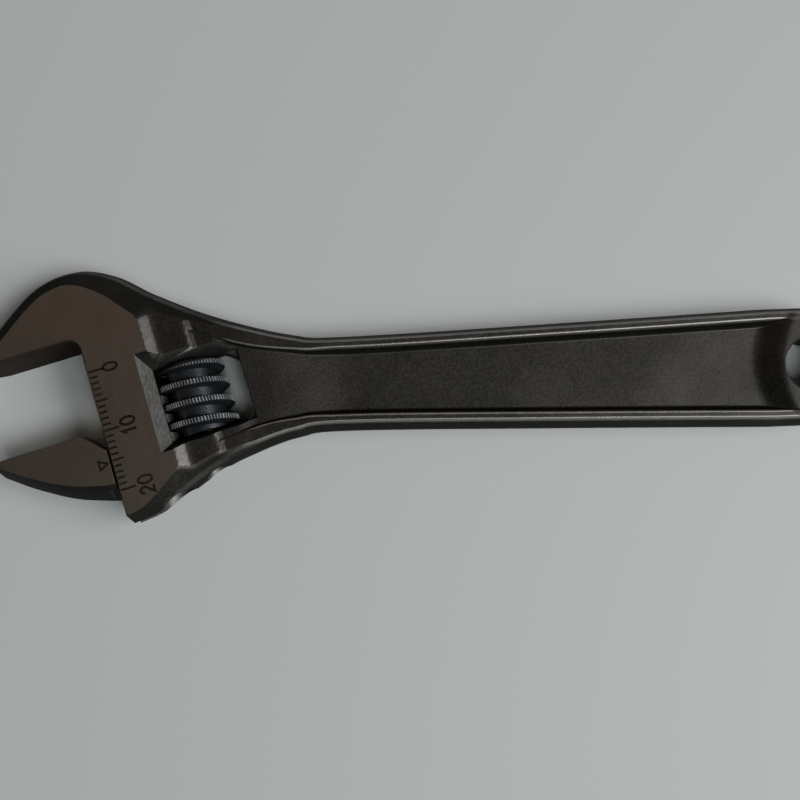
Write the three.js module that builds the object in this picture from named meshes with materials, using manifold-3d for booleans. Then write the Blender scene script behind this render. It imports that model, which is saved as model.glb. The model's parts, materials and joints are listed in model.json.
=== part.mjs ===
// Adjustable wrench, 150 mm class, in millimetres. +X runs along the handle to the hanging hole,
// +Y to the fixed jaw's side and +Z out of the scale face. The origin is on the handle's centre
// line, on the ground back face of the head.
import * as THREE from 'three';
import { mergeVertices } from 'three/addons/utils/BufferGeometryUtils.js';
import Module from 'manifold-3d';

const wasm = await Module();
wasm.setup();

// ---- general ----
const GAP = 0.3; // running gap between pieces that touch
const OVER = 2; // how far a cutter runs past the surface that it cuts
const FILL = 7; // how far a blank runs past the faces that are ground on it
const SPAN = 60; // half size of a cutter that only has to be larger than the head
const STRAIGHT = 1e-4; // sine of the turn under which an outline's point counts as on a straight run

// ---- head ----
const HEAD_ANGLE = THREE.MathUtils.degToRad(15); // jaw direction against the handle
const HEAD_THICKNESS = 12; // over the two ground faces
const THROAT_X = -6.4; // throat corner of the fixed jaw, from the origin
const THROAT_Y = 8.5;
const THROAT_RADIUS = 2;
const JAW_REACH = 18.5; // front edge to the tip of the fixed jaw
const HEAD_DRAFT = 3.2; // how far the drafted sides lean in
const DRAFT_HEIGHT = 5; // height over which they lean in
const BAND_DROP = 1.1; // ground face down to the forged band beside it
const BAND_START = 10.1; // front edge to the step down to the band
const BAND_END = 16.9; // front edge to the step down to the panel
const STEP_SLOPE = 1.8; // width of a step's slope
const PANEL_HALF = 3.6; // half thickness of the panel round the window

// ---- handle ----
const HANDLE_REACH = 125.5; // origin to the far end
const HANDLE_THICKNESS = 9; // over the two rims
const NECK_X = 36; // where the handle is slimmest
const NECK_HALF_WIDTH = 7.9;
const END_HALF_WIDTH = 9.9;
const RIM_WIDTH = 2;
const RECESS_START = 27; // from the origin
const RECESS_NOSE_HALF = 2; // half width of its straight front end
const RECESS_FLOOR_HALF = 2.2; // half thickness of the web between the rims
const RECESS_SLOPE = 1.2;
const HOLE_DIAMETER = 9;
const HOLE_END_WALL = 6.5; // hole's edge to the handle's end
const BOSS_WALL = 2.4; // hole's edge to the end wall of the recess

// ---- jaws and rail ----
const REST_OPENING = 15.85; // between the gripping faces as modelled
const MOVABLE_REACH = 18.7; // front edge to the tip of the movable jaw
const JAW_DRAFT = 2.2; // how far its back leans in
const RELIEF = 3.3; // corner of the movable jaw cut away for the throat's radius
const WEB_THICKNESS = 3;
const WEB_TOP_DROP = 0.5; // gripping face down to the top of the web
const WEB_DEPTH = 10.6; // gripping face to the lower end of the web and rail
const RAIL_DIAMETER = 6.2;
const RAIL_SET_BACK = 7.7; // front edge to the rail's axis
const RAIL_LEAD = 5.95; // how far the rail stands above the gripping face
const RAIL_TIP = 1.3; // length of the cone on the rail's upper end

// ---- worm, its screw and its spring ----
const WORM_DIAMETER = 11.6;
const WORM_LENGTH = 12;
const WORM_PITCH = 3.2;
const CREST_RISE = 1.4; // worm's middle up to the crest that faces the handle
const THREAD_DEPTH = 1.6;
const THREAD_CREST = 0.95;
const THREAD_FOOT = 1.75;
const THREAD_STEPS = 32; // facets to a turn
const MESH_DEPTH = 1.3; // how far the thread dips into the rack
const WINDOW_DROP = 8.2; // throat level down to the window's upper end
const WINDOW_BACK_GAP = 3.1; // worm to the window's rear wall
const WINDOW_CHAMFER = 2;
const WINDOW_CORNER = 1.5;
const PIN_DIAMETER = 2.8;
const PIN_TIP_SEAT = 2.7; // how far the pin goes into the head above the worm
const SCREW_DIAMETER = 4;
const SCREW_SLOT = 0.8;
const SCREW_SLOT_DEPTH = 1;
const SCREW_HEAD_LENGTH = 5.2; // from the window's lower end
const SPRING_WIRE = 0.45;
const SPRING_LENGTH = 4;
const SPRING_TURNS = 5;

// ---- worked out from the above ----
const MID = HEAD_THICKNESS / 2;
const BORE_RADIUS = RAIL_DIAMETER / 2 + GAP;
const WORM_RADIUS = WORM_DIAMETER / 2;
const WORM_AXIS = RAIL_SET_BACK + RAIL_DIAMETER / 2 - MESH_DEPTH + WORM_RADIUS;
const WINDOW_LENGTH = WORM_LENGTH + 2 * GAP;
const WINDOW_BOTTOM = WINDOW_DROP + WINDOW_LENGTH;
const WORM_TOP = WINDOW_DROP + GAP;
const WORM_PHASE = -WORM_TOP - WORM_LENGTH / 2 + CREST_RISE; // level of that crest
// the wall between bore and window ends where the bore's circle meets the worm's, widened by the gap
const AXIS_SPACING = WORM_AXIS - RAIL_SET_BACK;
const WINDOW_FRONT = RAIL_SET_BACK
  + (AXIS_SPACING ** 2 + BORE_RADIUS ** 2 - (WORM_RADIUS + GAP) ** 2) / (2 * AXIS_SPACING);
const WINDOW_REAR = WORM_AXIS + WORM_RADIUS + WINDOW_BACK_GAP;
const HOLE_X = HANDLE_REACH - HOLE_END_WALL - HOLE_DIAMETER / 2;
const END_CENTRE_X = HANDLE_REACH - END_HALF_WIDTH;
const PIN_RADIUS = PIN_DIAMETER / 2;
const SCREW_RADIUS = SCREW_DIAMETER / 2;
const SPRING_RADIUS = PIN_RADIUS + GAP + SPRING_WIRE / 2; // to the wire's centre
const COUNTERBORE_RADIUS = SPRING_RADIUS + SPRING_WIRE / 2 + GAP;
const COUNTERBORE_DEPTH = SPRING_LENGTH + 2 * GAP;

// ---- frames: a runs from the front edge towards the handle, b up to the fixed jaw ----
function headPoint(a, b) {
  const x = THROAT_X + a * Math.cos(HEAD_ANGLE) - b * Math.sin(HEAD_ANGLE);
  const y = THROAT_Y + a * Math.sin(HEAD_ANGLE) + b * Math.cos(HEAD_ANGLE);
  return new THREE.Vector2(x, y);
}

// puts a geometry made in the head's own frame (x = a, y = b, z from the mid-plane) in its place
function placeInHead(geometry) {
  const origin = headPoint(0, 0);
  geometry.rotateZ(HEAD_ANGLE);
  geometry.translate(origin.x, origin.y, 0);
  return geometry;
}

// ---- solids ----
function solidOf(geometry) {
  const bare = geometry.clone();
  bare.deleteAttribute('normal');
  bare.deleteAttribute('uv');
  const merged = mergeVertices(bare, 1e-4);
  const corners = merged.index.array;
  const faces = [];
  for (let i = 0; i < corners.length; i += 3) {
    const [p, q, r] = [corners[i], corners[i + 1], corners[i + 2]];
    // a lathe's faces on its axis have two corners in one place
    if (p !== q && q !== r && r !== p) faces.push(p, q, r);
  }
  const mesh = new wasm.Mesh({
    numProp: 3,
    vertProperties: new Float32Array(merged.attributes.position.array),
    triVerts: new Uint32Array(faces),
  });
  const solid = new wasm.Manifold(mesh);
  return solid;
}

function geometryOf(solid) {
  const mesh = solid.getMesh();
  const geometry = new THREE.BufferGeometry();
  geometry.setAttribute('position', new THREE.BufferAttribute(mesh.vertProperties, 3));
  geometry.setIndex(new THREE.BufferAttribute(mesh.triVerts, 1));
  return geometry;
}

// an outline's shape, without the points that lie on a straight run between their neighbours
function outlineShape(points) {
  const corners = points.filter((point, i) => {
    const before = points[(i + points.length - 1) % points.length];
    const after = points[(i + 1) % points.length];
    const into = point.clone().sub(before).normalize();
    const out = after.clone().sub(point).normalize();
    return Math.abs(into.cross(out)) > STRAIGHT;
  });
  return new THREE.Shape(corners);
}

// a prism between two heights, with its outline in plain x and y
function prism(points, low, high) {
  const shape = outlineShape(points);
  const geometry = new THREE.ExtrudeGeometry(shape, { depth: high - low, bevelEnabled: false });
  geometry.translate(0, 0, low);
  return geometry;
}

// a flat prism across the mid-plane whose sides lean in over the last part of each half
function draftedPrism(points, halfHeight, lean, leanHeight) {
  const shape = outlineShape(points);
  const geometry = new THREE.ExtrudeGeometry(shape, {
    depth: 2 * (halfHeight - leanHeight),
    bevelThickness: leanHeight,
    bevelSize: lean,
    bevelOffset: -lean,
    bevelSegments: 4,
  });
  geometry.translate(0, 0, -(halfHeight - leanHeight));
  return geometry;
}

// a pocket cutter: its floor is at floorZ, and its walls lean out by slope on the way up
function pocket(points, floorZ, topZ, slope) {
  const shape = outlineShape(points);
  const geometry = new THREE.ExtrudeGeometry(shape, {
    depth: OVER * 2,
    bevelThickness: topZ - floorZ,
    bevelSize: slope,
    bevelOffset: -slope,
    bevelSegments: 1,
  });
  geometry.translate(0, 0, topZ);
  return geometry;
}

// a round bar along b in the head's frame; profile runs from the lower end to the upper end
function turned(profile, a, segments) {
  const points = profile.map(([r, b]) => new THREE.Vector2(r, b));
  const geometry = new THREE.LatheGeometry(points, segments);
  geometry.translate(a, 0, 0);
  return geometry;
}

function splinePoints(points, count) {
  return new THREE.SplineCurve(points).getPoints(count);
}

// the same geometry on the other side of the mid-plane; its triangles turn round to stay outward
function mirrored(geometry) {
  const copy = geometry.clone();
  const position = copy.attributes.position;
  const first = new THREE.Vector3();
  const second = new THREE.Vector3();
  for (let i = 0; i < position.count; i += 3) {
    first.fromBufferAttribute(position, i);
    second.fromBufferAttribute(position, i + 1);
    position.setXYZ(i, second.x, second.y, second.z);
    position.setXYZ(i + 1, first.x, first.y, first.z);
  }
  copy.scale(1, 1, -1);
  return copy;
}

function cutBothSides(solid, cutter) {
  return solid.subtract(solidOf(cutter)).subtract(solidOf(mirrored(cutter)));
}

// ---- the worm's thread: a closed four-sided section swept along a left-hand helix about b ----
function thread(tipRadius, footRadius, crest, foot, fromB, toB) {
  const stepsPerTurn = THREAD_STEPS;
  const steps = Math.round(((toB - fromB) / WORM_PITCH) * stepsPerTurn);
  const section = [
    [footRadius, -foot / 2],
    [tipRadius, -crest / 2],
    [tipRadius, crest / 2],
    [footRadius, foot / 2],
  ];
  const position = [];
  const index = [];
  for (let step = 0; step <= steps; step += 1) {
    const angle = (2 * Math.PI * step) / stepsPerTurn;
    const rise = fromB + (WORM_PITCH * step) / stepsPerTurn;
    for (const [radius, offset] of section) {
      position.push(WORM_AXIS + radius * Math.cos(angle), rise + offset, radius * Math.sin(angle));
    }
  }
  for (let step = 0; step < steps; step += 1) {
    for (let corner = 0; corner < 4; corner += 1) {
      const p = 4 * step + corner;
      const q = 4 * step + ((corner + 1) % 4);
      index.push(p, q, p + 4, q, q + 4, p + 4);
    }
  }
  const last = 4 * steps;
  index.push(0, 2, 1, 0, 3, 2);
  index.push(last, last + 1, last + 2, last, last + 2, last + 3);
  const geometry = new THREE.BufferGeometry();
  geometry.setAttribute('position', new THREE.Float32BufferAttribute(position, 3));
  geometry.setIndex(index);
  return geometry;
}

// ---- the wrench body ----
// the forging's outline at mid-thickness, with the jaw opening still filled in
function bodyOutline() {
  const inOpening = [
    headPoint(-JAW_REACH - FILL, 1.7 - FILL * 0.9),
    headPoint(-JAW_REACH - FILL, -FILL * 2),
    headPoint(-FILL, -FILL * 2),
    headPoint(-FILL, -31.9 - FILL * 0.1),
  ];
  const lowerEdge = splinePoints(
    [
      headPoint(-0.4, -31.9),
      headPoint(5.4, -31),
      headPoint(15.1, -27.5),
      headPoint(22, -26.2),
      new THREE.Vector2(NECK_X - 7, -NECK_HALF_WIDTH - 0.8),
      new THREE.Vector2(NECK_X + 2, -NECK_HALF_WIDTH),
      new THREE.Vector2((NECK_X + END_CENTRE_X) / 2, -(NECK_HALF_WIDTH + END_HALF_WIDTH) / 2),
      new THREE.Vector2(END_CENTRE_X - 8, -END_HALF_WIDTH),
    ],
    48,
  );
  const end = new THREE.EllipseCurve(
    END_CENTRE_X, 0, END_HALF_WIDTH, END_HALF_WIDTH, -Math.PI / 2, Math.PI / 2,
  ).getPoints(24);
  const upperEdge = splinePoints(
    [
      new THREE.Vector2(END_CENTRE_X - 8, END_HALF_WIDTH),
      new THREE.Vector2((NECK_X + END_CENTRE_X) / 2, (NECK_HALF_WIDTH + END_HALF_WIDTH) / 2),
      new THREE.Vector2(NECK_X + 2, NECK_HALF_WIDTH),
      new THREE.Vector2(NECK_X - 8, NECK_HALF_WIDTH + 0.7),
      headPoint(22.1, -2.2),
      headPoint(13.5, 4.4),
      headPoint(8, 9.4),
      headPoint(1.8, 12.2),
      headPoint(-5.5, 11.3),
      headPoint(-13.8, 5.9),
      headPoint(-JAW_REACH, 1.7),
    ],
    72,
  );
  return [...lowerEdge, ...end, ...upperEdge, ...inOpening];
}

// everything on the opening's side of the front edge and the gripping face, and past the jaw's tip
function jawOpeningCutter() {
  const bend = new THREE.EllipseCurve(
    -THROAT_RADIUS, -THROAT_RADIUS, THROAT_RADIUS, THROAT_RADIUS, Math.PI / 2, 0, true,
  ).getPoints(8);
  const points = [
    new THREE.Vector2(0, -SPAN),
    new THREE.Vector2(-SPAN, -SPAN),
    new THREE.Vector2(-SPAN, SPAN),
    new THREE.Vector2(-JAW_REACH, SPAN),
    new THREE.Vector2(-JAW_REACH, 0),
    ...bend,
  ];
  return placeInHead(prism(points.reverse(), -SPAN, SPAN));
}

// the step from the ground faces to the forged band, and the one from the band to the rims
function stepCutter(start, floor) {
  const points = [
    new THREE.Vector2(start, -SPAN),
    new THREE.Vector2(SPAN * 4, -SPAN * 2),
    new THREE.Vector2(SPAN * 4, SPAN),
    new THREE.Vector2(start, SPAN),
  ];
  return placeInHead(pocket(points, floor, MID, STEP_SLOPE));
}

// the panel round the window and the long recess between the handle's rims
function panelCutter() {
  const rimTop = HANDLE_THICKNESS / 2;
  const points = [
    headPoint(BAND_END, -WINDOW_DROP + 9.5),
    headPoint(BAND_END, -WINDOW_BOTTOM - 2.8),
    headPoint(22, -26.2 + RIM_WIDTH),
    new THREE.Vector2(NECK_X, -NECK_HALF_WIDTH + RIM_WIDTH),
    new THREE.Vector2(NECK_X, NECK_HALF_WIDTH - RIM_WIDTH),
    headPoint(22.1, -2.2 - RIM_WIDTH * 1.2),
  ];
  return pocket(points, PANEL_HALF, rimTop, STEP_SLOPE / 2);
}

function recessCutter() {
  const wallRadius = HOLE_DIAMETER / 2 + BOSS_WALL;
  const endHalf = END_HALF_WIDTH - RIM_WIDTH;
  const neckHalf = NECK_HALF_WIDTH - RIM_WIDTH;
  const endX = HOLE_X - wallRadius / 2;
  const nose = splinePoints(
    [
      new THREE.Vector2(RECESS_START, -RECESS_NOSE_HALF),
      new THREE.Vector2(RECESS_START + 3, -neckHalf + 1),
      new THREE.Vector2(NECK_X + 2, -neckHalf),
    ],
    10,
  );
  const lower = [...nose, new THREE.Vector2(endX, -endHalf)];
  const wall = new THREE.EllipseCurve(
    HOLE_X, 0, wallRadius, wallRadius, -Math.PI * 0.66, Math.PI * 0.66, true,
  ).getPoints(12);
  const upper = lower.slice().reverse().map((p) => new THREE.Vector2(p.x, -p.y));
  return pocket([...lower, ...wall, ...upper], RECESS_FLOOR_HALF, HANDLE_THICKNESS / 2, RECESS_SLOPE);
}

function windowOutline() {
  const front = WINDOW_FRONT;
  const top = -WINDOW_DROP;
  const bottom = -WINDOW_BOTTOM;
  const shape = new THREE.Shape();
  shape.moveTo(front, bottom);
  shape.lineTo(WINDOW_REAR - WINDOW_CORNER, bottom);
  shape.absarc(WINDOW_REAR - WINDOW_CORNER, bottom + WINDOW_CORNER, WINDOW_CORNER, -Math.PI / 2, 0);
  shape.absarc(WINDOW_REAR - WINDOW_CORNER, top - WINDOW_CORNER, WINDOW_CORNER, 0, Math.PI / 2);
  shape.lineTo(front, top);
  return shape.getPoints(6);
}

function windowChamferCutter() {
  const front = WINDOW_FRONT - WINDOW_CHAMFER;
  const top = -WINDOW_DROP + WINDOW_CHAMFER / 2;
  const bottom = -WINDOW_BOTTOM - WINDOW_CHAMFER / 2;
  const points = [
    new THREE.Vector2(front, bottom),
    new THREE.Vector2(WORM_AXIS, bottom),
    new THREE.Vector2(WORM_AXIS, top),
    new THREE.Vector2(front, top),
  ];
  return placeInHead(pocket(points, MID - WINDOW_CHAMFER - GAP * 2, MID, WINDOW_CHAMFER));
}

function boreCutter() {
  const end = RAIL_LEAD + GAP;
  return turned(
    [[0, -SPAN], [BORE_RADIUS, -SPAN], [BORE_RADIUS, end - RAIL_TIP], [BORE_RADIUS - RAIL_TIP, end], [0, end]],
    RAIL_SET_BACK,
    40,
  );
}

function slotCutter() {
  const half = WEB_THICKNESS / 2 + GAP;
  const top = -WEB_TOP_DROP + GAP;
  const points = [
    new THREE.Vector2(-OVER, -SPAN),
    new THREE.Vector2(RAIL_SET_BACK, -SPAN),
    new THREE.Vector2(RAIL_SET_BACK, top),
    new THREE.Vector2(-OVER, top),
  ];
  return prism(points, -half, half);
}

function screwHoleCutter() {
  const tipEnd = -WINDOW_DROP + PIN_TIP_SEAT + GAP;
  const pinHole = PIN_RADIUS + GAP;
  const screwHole = SCREW_RADIUS + GAP;
  return turned(
    [[0, -SPAN], [screwHole, -SPAN], [screwHole, -WINDOW_BOTTOM + OVER],
      [pinHole, -WINDOW_BOTTOM + OVER], [pinHole, tipEnd], [0, tipEnd]],
    WORM_AXIS,
    32,
  );
}

function hangingHoleCutter() {
  const geometry = new THREE.CylinderGeometry(HOLE_DIAMETER / 2, HOLE_DIAMETER / 2, SPAN, 48);
  geometry.rotateX(Math.PI / 2);
  geometry.translate(HOLE_X, 0, 0);
  return geometry;
}

function wrenchBody() {
  const bandFloor = MID - BAND_DROP;
  const rimFloor = HANDLE_THICKNESS / 2;
  let body = solidOf(draftedPrism(bodyOutline(), MID, HEAD_DRAFT, DRAFT_HEIGHT));
  body = body.subtract(solidOf(jawOpeningCutter()));
  const faceCuts = [
    stepCutter(BAND_START, bandFloor),
    stepCutter(BAND_END, rimFloor),
    panelCutter(),
    recessCutter(),
    windowChamferCutter(),
  ];
  for (const cutter of faceCuts) body = cutBothSides(body, cutter);
  const throughCuts = [
    placeInHead(prism(windowOutline(), -SPAN, SPAN)),
    placeInHead(boreCutter()),
    placeInHead(slotCutter()),
    placeInHead(screwHoleCutter()),
  ];
  for (const cutter of throughCuts) body = body.subtract(solidOf(cutter));
  body = body.subtract(solidOf(hangingHoleCutter()));
  return geometryOf(body);
}

// ---- the movable jaw, at its rest opening ----
function movableJawOutline() {
  const inOpening = [
    new THREE.Vector2(FILL, -REST_OPENING - 12),
    new THREE.Vector2(FILL, -REST_OPENING + FILL),
    new THREE.Vector2(-MOVABLE_REACH - FILL, -REST_OPENING + FILL),
    new THREE.Vector2(-MOVABLE_REACH - FILL, -REST_OPENING - 2.2 + FILL * 0.7),
  ];
  const back = splinePoints(
    [
      new THREE.Vector2(-MOVABLE_REACH, -REST_OPENING - 2.2),
      new THREE.Vector2(-14.1, -REST_OPENING - 5.6),
      new THREE.Vector2(-8.1, -REST_OPENING - 9.1),
      new THREE.Vector2(-1.9, -REST_OPENING - 11.3),
    ],
    24,
  );
  return [...back, ...inOpening];
}

// outline that the ground faces of the jaw keep: gripping face, relief corner and rear edge
function movableJawKeep() {
  return [
    new THREE.Vector2(-MOVABLE_REACH, -REST_OPENING),
    new THREE.Vector2(-MOVABLE_REACH, -SPAN),
    new THREE.Vector2(-GAP, -SPAN),
    new THREE.Vector2(-GAP, -REST_OPENING - RELIEF),
    new THREE.Vector2(-GAP - RELIEF, -REST_OPENING),
  ];
}

function railProfile() {
  const radius = RAIL_DIAMETER / 2;
  const top = -REST_OPENING + RAIL_LEAD;
  const bottom = -REST_OPENING - WEB_DEPTH;
  const edge = GAP * 1.5;
  return [
    [0, bottom],
    [radius - edge, bottom],
    [radius, bottom + edge],
    [radius, top - RAIL_TIP],
    [radius - RAIL_TIP, top],
    [0, top],
  ];
}

// the rack is what the worm's own thread leaves, opened out by the running gap on every side
function rackCutter() {
  const foot = WORM_RADIUS - THREAD_DEPTH - GAP;
  const lowest = WORM_PHASE - WORM_PITCH * 8;
  return thread(
    WORM_RADIUS + GAP, foot, THREAD_CREST + 2 * GAP, THREAD_FOOT + 3 * GAP, lowest, WORM_PHASE + WORM_PITCH * 6,
  );
}

function movableJaw() {
  const web = [
    new THREE.Vector2(-OVER * 2, -REST_OPENING - WEB_TOP_DROP),
    new THREE.Vector2(-OVER * 2, -REST_OPENING - WEB_DEPTH),
    new THREE.Vector2(RAIL_SET_BACK, -REST_OPENING - WEB_DEPTH),
    new THREE.Vector2(RAIL_SET_BACK, -REST_OPENING - WEB_TOP_DROP),
  ];
  let jaw = solidOf(draftedPrism(movableJawOutline(), MID, JAW_DRAFT, DRAFT_HEIGHT));
  jaw = jaw.intersect(solidOf(prism(movableJawKeep(), -SPAN, SPAN)));
  jaw = jaw.add(solidOf(prism(web, -WEB_THICKNESS / 2, WEB_THICKNESS / 2)));
  jaw = jaw.add(solidOf(turned(railProfile(), RAIL_SET_BACK, 40)));
  jaw = jaw.subtract(solidOf(rackCutter()));
  return placeInHead(geometryOf(jaw));
}

// ---- the adjusting worm ----
function adjustingWorm() {
  const core = WORM_RADIUS - THREAD_DEPTH;
  const bottom = -WORM_TOP - WORM_LENGTH;
  const bore = PIN_RADIUS + GAP;
  const edge = THREAD_DEPTH / 2;
  const envelope = [
    [0, bottom],
    [WORM_RADIUS - edge, bottom],
    [WORM_RADIUS, bottom + edge],
    [WORM_RADIUS, -WORM_TOP - edge],
    [WORM_RADIUS - edge, -WORM_TOP],
    [0, -WORM_TOP],
  ];
  const cylinder = [
    [0, bottom],
    [core, bottom],
    [core, -WORM_TOP],
    [0, -WORM_TOP],
  ];
  const hole = [
    [0, bottom - OVER],
    [COUNTERBORE_RADIUS, bottom - OVER],
    [COUNTERBORE_RADIUS, bottom + COUNTERBORE_DEPTH - GAP],
    [bore, bottom + COUNTERBORE_DEPTH - GAP],
    [bore, -WORM_TOP + OVER],
    [0, -WORM_TOP + OVER],
  ];
  const ridge = thread(
    WORM_RADIUS, core - GAP, THREAD_CREST, THREAD_FOOT,
    WORM_PHASE - WORM_PITCH * 3, WORM_PHASE + WORM_PITCH * 3,
  );
  let worm = solidOf(turned(cylinder, WORM_AXIS, 64));
  worm = worm.add(solidOf(ridge));
  worm = worm.intersect(solidOf(turned(envelope, WORM_AXIS, 64)));
  worm = worm.subtract(solidOf(turned(hole, WORM_AXIS, 32)));
  return placeInHead(geometryOf(worm));
}

// ---- the screw that the worm turns on ----
function wormAxleScrew() {
  const headEnd = -WINDOW_BOTTOM - SCREW_HEAD_LENGTH;
  const shoulder = -WINDOW_BOTTOM - GAP;
  const tip = -WINDOW_DROP + PIN_TIP_SEAT;
  const edge = GAP;
  const profile = [
    [0, headEnd],
    [SCREW_RADIUS - edge, headEnd],
    [SCREW_RADIUS, headEnd + edge],
    [SCREW_RADIUS, shoulder],
    [PIN_RADIUS, shoulder],
    [PIN_RADIUS, tip - edge],
    [PIN_RADIUS - edge, tip],
    [0, tip],
  ];
  const slot = [
    new THREE.Vector2(WORM_AXIS - SCREW_DIAMETER, headEnd - OVER),
    new THREE.Vector2(WORM_AXIS + SCREW_DIAMETER, headEnd - OVER),
    new THREE.Vector2(WORM_AXIS + SCREW_DIAMETER, headEnd + SCREW_SLOT_DEPTH),
    new THREE.Vector2(WORM_AXIS - SCREW_DIAMETER, headEnd + SCREW_SLOT_DEPTH),
  ];
  let screw = solidOf(turned(profile, WORM_AXIS, 32));
  screw = screw.subtract(solidOf(prism(slot, -SCREW_SLOT / 2, SCREW_SLOT / 2)));
  return placeInHead(geometryOf(screw));
}

// ---- the spring in the worm's counterbore ----
function wormSpring() {
  const bottom = -WINDOW_BOTTOM + GAP;
  const rise = SPRING_LENGTH - SPRING_WIRE;
  const points = [];
  const stepsPerTurn = 16;
  for (let step = 0; step <= SPRING_TURNS * stepsPerTurn; step += 1) {
    const angle = (2 * Math.PI * step) / stepsPerTurn;
    const b = bottom + SPRING_WIRE / 2 + (rise * step) / (SPRING_TURNS * stepsPerTurn);
    points.push(new THREE.Vector3(
      WORM_AXIS + SPRING_RADIUS * Math.cos(angle), b, SPRING_RADIUS * Math.sin(angle),
    ));
  }
  const wire = new THREE.Shape();
  wire.absarc(0, 0, SPRING_WIRE / 2, 0, 2 * Math.PI);
  const geometry = new THREE.ExtrudeGeometry(wire, {
    steps: points.length - 1,
    curveSegments: 3,
    bevelEnabled: false,
    extrudePath: new THREE.CatmullRomCurve3(points),
  });
  return placeInHead(geometry);
}

// ---- the assembly ----
function piece(name, geometry, color, roughness, metalness) {
  const material = new THREE.MeshStandardMaterial({ color, roughness, metalness });
  geometry.translate(0, 0, MID);
  geometry.computeVertexNormals();
  const mesh = new THREE.Mesh(geometry, material);
  mesh.name = name;
  return mesh;
}

const wrench = new THREE.Group();
wrench.name = 'adjustable_wrench';
wrench.add(
  piece('wrench_body', wrenchBody(), 0x55524c, 0.5, 0.9),
  piece('movable_jaw', movableJaw(), 0x6b655c, 0.45, 0.9),
  piece('adjusting_worm', adjustingWorm(), 0x2b303a, 0.35, 0.9),
  piece('worm_axle_screw', wormAxleScrew(), 0x4a4a4c, 0.4, 0.9),
  piece('worm_spring', wormSpring(), 0x8a8a8a, 0.3, 1),
);

export default wrench;
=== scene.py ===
"""Adjustable wrench: the finished look of each piece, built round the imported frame."""

import json
import math

import bpy
import numpy as np
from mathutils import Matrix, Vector, kdtree


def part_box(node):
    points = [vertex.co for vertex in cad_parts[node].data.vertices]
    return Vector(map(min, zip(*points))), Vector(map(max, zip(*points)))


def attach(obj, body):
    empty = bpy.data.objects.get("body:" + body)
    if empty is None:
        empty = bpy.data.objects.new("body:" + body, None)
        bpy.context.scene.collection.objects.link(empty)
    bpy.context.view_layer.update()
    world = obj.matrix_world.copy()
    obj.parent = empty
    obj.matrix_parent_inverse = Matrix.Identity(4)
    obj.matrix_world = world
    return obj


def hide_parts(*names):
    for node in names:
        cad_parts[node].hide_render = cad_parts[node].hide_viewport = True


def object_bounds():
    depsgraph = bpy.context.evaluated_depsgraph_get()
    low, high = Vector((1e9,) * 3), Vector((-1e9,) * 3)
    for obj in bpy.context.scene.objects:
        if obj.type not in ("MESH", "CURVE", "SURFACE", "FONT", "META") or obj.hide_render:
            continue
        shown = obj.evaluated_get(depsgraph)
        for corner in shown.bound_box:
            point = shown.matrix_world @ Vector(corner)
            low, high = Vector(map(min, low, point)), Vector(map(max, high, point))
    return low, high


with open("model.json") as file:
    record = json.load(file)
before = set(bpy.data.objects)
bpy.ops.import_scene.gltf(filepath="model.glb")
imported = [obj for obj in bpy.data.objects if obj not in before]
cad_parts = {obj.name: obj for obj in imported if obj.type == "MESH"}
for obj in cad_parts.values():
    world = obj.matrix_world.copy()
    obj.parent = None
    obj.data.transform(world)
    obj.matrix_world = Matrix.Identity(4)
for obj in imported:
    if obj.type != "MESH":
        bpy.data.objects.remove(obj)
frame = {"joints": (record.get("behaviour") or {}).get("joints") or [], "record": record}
cad_low, cad_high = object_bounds()
scene = bpy.context.scene
MM = 0.001  # lengths below are in millimetres until a mesh is made

# ---- Camera, bench and light -------------------------------------------------------------
# The wrench lies on a pale bench under a window on the right. The camera stands about 17 cm
# over the handle's start and leans a little towards the head.
camera_data = bpy.data.cameras.new("bench_camera")
camera_data.sensor_width = 36
camera_data.lens = 45
camera_data.clip_start = 0.01
camera = bpy.data.objects.new("bench_camera", camera_data)
camera.location = (0.0454, -0.0215, 0.1736)
camera.rotation_euler = (math.radians(6.28), 0, math.radians(-2.17))
scene.collection.objects.link(camera)
scene.camera = camera

BENCH_HALF_SIZE = 3.0
BENCH_COLOR = (0.33, 0.36, 0.365, 1)


def nodes_of(material):
    material.use_nodes = True
    tree = material.node_tree
    tree.nodes.clear()
    return tree


def add(tree, kind, **settings):
    """A node of that kind, with plain properties and unlinked inputs set by name."""
    node = tree.nodes.new(kind)
    for key, value in settings.items():
        if hasattr(node, key):
            setattr(node, key, value)
        else:
            node.inputs[key.replace("_", " ")].default_value = value
    return node


bench_mesh = bpy.data.meshes.new("bench")
s = BENCH_HALF_SIZE
bench_mesh.from_pydata([(-s, -s, 0), (s, -s, 0), (s, s, 0), (-s, s, 0)], [], [(0, 1, 2, 3)])
bench = bpy.data.objects.new("bench", bench_mesh)
bench.location.z = cad_low.z - 0.00005
scene.collection.objects.link(bench)

bench_paint = bpy.data.materials.new("bench_paint")
tree = nodes_of(bench_paint)
surface = add(tree, "ShaderNodeBsdfPrincipled", Base_Color=BENCH_COLOR, Roughness=0.55)
output = add(tree, "ShaderNodeOutputMaterial")
tree.links.new(surface.outputs[0], output.inputs["Surface"])
bench_mesh.materials.append(bench_paint)


def area_light(name, place, aim, size, power, color):
    data = bpy.data.lights.new(name, "AREA")
    data.shape = "RECTANGLE"
    data.size, data.size_y = size
    data.energy = power
    data.color = color
    lamp = bpy.data.objects.new(name, data)
    lamp.location = place
    lamp.rotation_euler = (Vector(aim) - Vector(place)).to_track_quat("-Z", "Y").to_euler()
    scene.collection.objects.link(lamp)
    return lamp


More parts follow.
